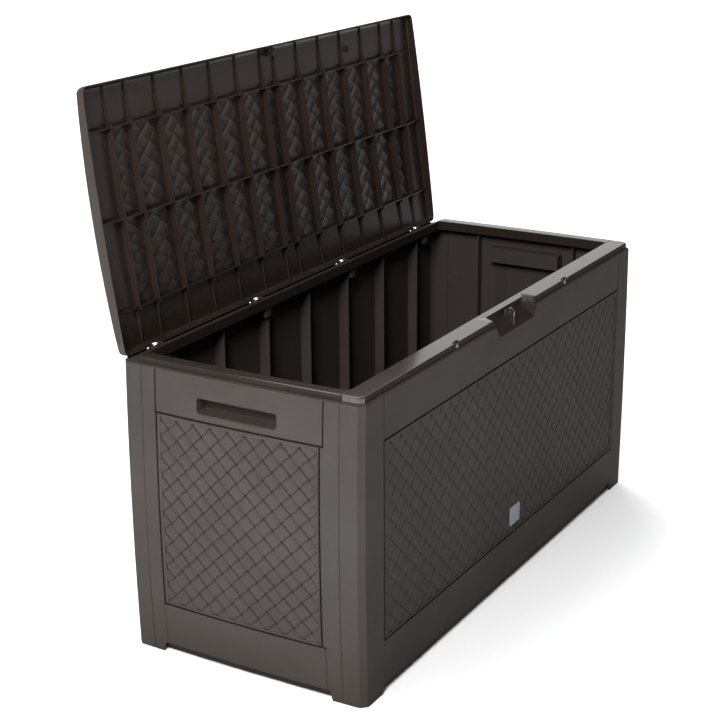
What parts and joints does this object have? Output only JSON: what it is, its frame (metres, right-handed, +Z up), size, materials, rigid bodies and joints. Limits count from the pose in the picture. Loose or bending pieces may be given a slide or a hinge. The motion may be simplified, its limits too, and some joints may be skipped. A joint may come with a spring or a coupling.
{
  "type": "storage_bench",
  "caption": "Moulded resin storage bench with woven-look panels, end hand grips and a hinged sit-on lid, stored open",
  "frame": {"origin": "On the ground at the centre of the body's footprint, under the middle pad of the floor panel", "axes": "+X along the length, towards the right end as seen from the front; +Y across the box, from the front wall towards the hinges; +Z up"},
  "size_m": [1.167, 0.5533, 1.0114],
  "materials": {
    "umber_resin": "satin",
    "umber_resin_lid": "satin",
    "umber_resin_floor": "matte",
    "umber_resin_glossy": "gloss",
    "black_nylon": "satin",
    "zinc_steel": "satin",
    "badge_grey": "satin"
  },
  "bodies": {
    "box": {"front_wall": "umber_resin", "back_wall": "umber_resin", "end_wall_left": "umber_resin", "end_wall_right": "umber_resin", "floor_panel": "umber_resin_floor", "hinge_pin_1": "black_nylon", "hinge_pin_2": "black_nylon", "hinge_pin_3": "black_nylon", "hinge_pin_4": "black_nylon", "rim_catch_left": "umber_resin_glossy", "rim_catch_right": "umber_resin_glossy", "padlock_eye": "umber_resin_glossy", "badge_plate": "badge_grey", "corner_screw_front_left_low": "zinc_steel", "corner_screw_front_left_high": "zinc_steel", "corner_screw_back_left_low": "zinc_steel", "corner_screw_back_left_high": "zinc_steel", "corner_screw_front_right_low": "zinc_steel", "corner_screw_front_right_high": "zinc_steel", "corner_screw_back_right_low": "zinc_steel", "corner_screw_back_right_high": "zinc_steel"},
    "lid": {"lid": "umber_resin_lid"}
  },
  "joints": [
    {"name": "lid_hinge", "type": "hinge", "parent": "box", "child": "lid", "pos_m": [0, 0.231, 0.5442], "axis": [1, 0, 0], "range_deg": [0, 97.5]}
  ]
}
